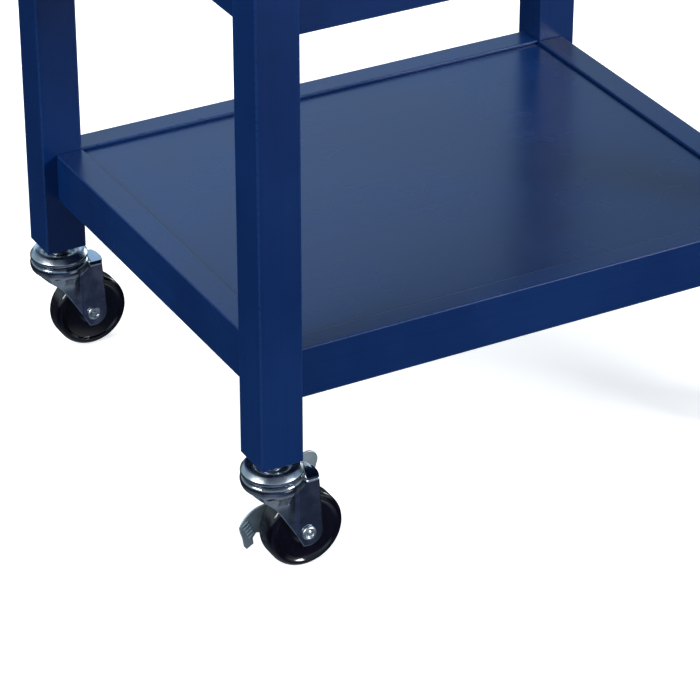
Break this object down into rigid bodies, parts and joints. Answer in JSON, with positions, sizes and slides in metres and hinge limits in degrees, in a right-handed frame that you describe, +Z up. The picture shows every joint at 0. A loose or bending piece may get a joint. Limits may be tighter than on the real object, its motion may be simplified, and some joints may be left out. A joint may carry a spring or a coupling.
{
  "type": "kitchen island cart",
  "caption": "Rectangular kitchen cart on swivel casters: block worktop, drawers, and open shelves set in rails between square legs.",
  "frame": {"origin": "on the floor under the middle of the worktop", "axes": "+Z up, the drawer fronts face -Y, +X to the right of someone facing the drawers"},
  "size_m": [0.648, 0.542, 0.912],
  "materials": {
    "navy_paint": "satin navy lacquer over fine-grained solid wood",
    "butcher_block": "oiled block of glued strips",
    "drawer_wood": "clear lacquered, unpainted",
    "zinc_plate": "bright blue-white zinc plate on pressed steel",
    "black_wheel": "glossy black moulded",
    "knob_nickel": "brushed nickel"
  },
  "bodies": {
    "cart_frame": {"leg_front_left": "navy_paint", "leg_front_right": "navy_paint", "leg_back_left": "navy_paint", "leg_back_right": "navy_paint", "lower_rail_front": "navy_paint", "lower_rail_back": "navy_paint", "lower_rail_left": "navy_paint", "lower_rail_right": "navy_paint", "lower_shelf_panel": "navy_paint", "lower_cleat_left": "navy_paint", "lower_cleat_right": "navy_paint", "middle_rail_front": "navy_paint", "middle_rail_back": "navy_paint", "middle_rail_left": "navy_paint", "middle_rail_right": "navy_paint", "middle_shelf_panel": "navy_paint", "middle_cleat_left": "navy_paint", "middle_cleat_right": "navy_paint", "apron_left": "navy_paint", "apron_right": "navy_paint", "apron_back": "navy_paint", "drawer_rail_top": "navy_paint", "drawer_rail_bottom": "navy_paint", "case_divider": "navy_paint", "runner_left_outer": "drawer_wood", "runner_left_inner": "drawer_wood", "runner_right_outer": "drawer_wood", "runner_right_inner": "drawer_wood", "worktop": "butcher_block", "caster_front_left_stem": "zinc_plate", "caster_front_right_stem": "zinc_plate", "caster_back_left_stem": "zinc_plate", "caster_back_right_stem": "zinc_plate"},
    "drawer_left": {"drawer_left_front": "navy_paint", "drawer_left_side_inner": "drawer_wood", "drawer_left_side_outer": "drawer_wood", "drawer_left_back": "drawer_wood", "drawer_left_bottom": "drawer_wood", "drawer_left_knob": "knob_nickel"},
    "drawer_right": {"drawer_right_front": "navy_paint", "drawer_right_side_inner": "drawer_wood", "drawer_right_side_outer": "drawer_wood", "drawer_right_back": "drawer_wood", "drawer_right_bottom": "drawer_wood", "drawer_right_knob": "knob_nickel"},
    "fork_front_left": {"caster_front_left_fork": "zinc_plate", "caster_front_left_axle": "zinc_plate"},
    "wheel_front_left": {"caster_front_left_wheel": "black_wheel"},
    "brake_front_left": {"caster_front_left_brake_lever": "zinc_plate"},
    "fork_front_right": {"caster_front_right_fork": "zinc_plate", "caster_front_right_axle": "zinc_plate"},
    "wheel_front_right": {"caster_front_right_wheel": "black_wheel"},
    "brake_front_right": {"caster_front_right_brake_lever": "zinc_plate"},
    "fork_back_left": {"caster_back_left_fork": "zinc_plate", "caster_back_left_axle": "zinc_plate"},
    "wheel_back_left": {"caster_back_left_wheel": "black_wheel"},
    "fork_back_right": {"caster_back_right_fork": "zinc_plate", "caster_back_right_axle": "zinc_plate"},
    "wheel_back_right": {"caster_back_right_wheel": "black_wheel"}
  },
  "joints": [
    {"name": "drawer_left_slide", "type": "slide", "parent": "cart_frame", "child": "drawer_left", "axis": [0, -1, 0], "range_m": [0, 0.3]},
    {"name": "drawer_right_slide", "type": "slide", "parent": "cart_frame", "child": "drawer_right", "axis": [0, -1, 0], "range_m": [0, 0.3]},
    {"name": "swivel_front_left", "type": "hinge", "parent": "cart_frame", "child": "fork_front_left", "pos_m": [-0.284, -0.231, 0.1], "axis": [0, 0, 1], "continuous": true},
    {"name": "wheel_spin_front_left", "type": "hinge", "parent": "fork_front_left", "child": "wheel_front_left", "pos_m": [-0.2557, -0.231, 0.0381], "axis": [0, 1, 0], "continuous": true},
    {"name": "brake_front_left", "type": "hinge", "parent": "fork_front_left", "child": "brake_front_left", "pos_m": [-0.2557, -0.231, 0.0381], "axis": [0, -1, 0], "range_deg": [0, 8]},
    {"name": "swivel_front_right", "type": "hinge", "parent": "cart_frame", "child": "fork_front_right", "pos_m": [0.284, -0.231, 0.1], "axis": [0, 0, 1], "continuous": true},
    {"name": "wheel_spin_front_right", "type": "hinge", "parent": "fork_front_right", "child": "wheel_front_right", "pos_m": [0.2557, -0.231, 0.0381], "axis": [0, 1, 0], "continuous": true},
    {"name": "brake_front_right", "type": "hinge", "parent": "fork_front_right", "child": "brake_front_right", "pos_m": [0.2557, -0.231, 0.0381], "axis": [0, 1, 0], "range_deg": [0, 8]},
    {"name": "swivel_back_left", "type": "hinge", "parent": "cart_frame", "child": "fork_back_left", "pos_m": [-0.284, 0.231, 0.1], "axis": [0, 0, 1], "continuous": true},
    {"name": "wheel_spin_back_left", "type": "hinge", "parent": "fork_back_left", "child": "wheel_back_left", "pos_m": [-0.2557, 0.231, 0.0381], "axis": [0, 1, 0], "continuous": true},
    {"name": "swivel_back_right", "type": "hinge", "parent": "cart_frame", "child": "fork_back_right", "pos_m": [0.284, 0.231, 0.1], "axis": [0, 0, 1], "continuous": true},
    {"name": "wheel_spin_back_right", "type": "hinge", "parent": "fork_back_right", "child": "wheel_back_right", "pos_m": [0.2557, 0.231, 0.0381], "axis": [0, 1, 0], "continuous": true}
  ]
}
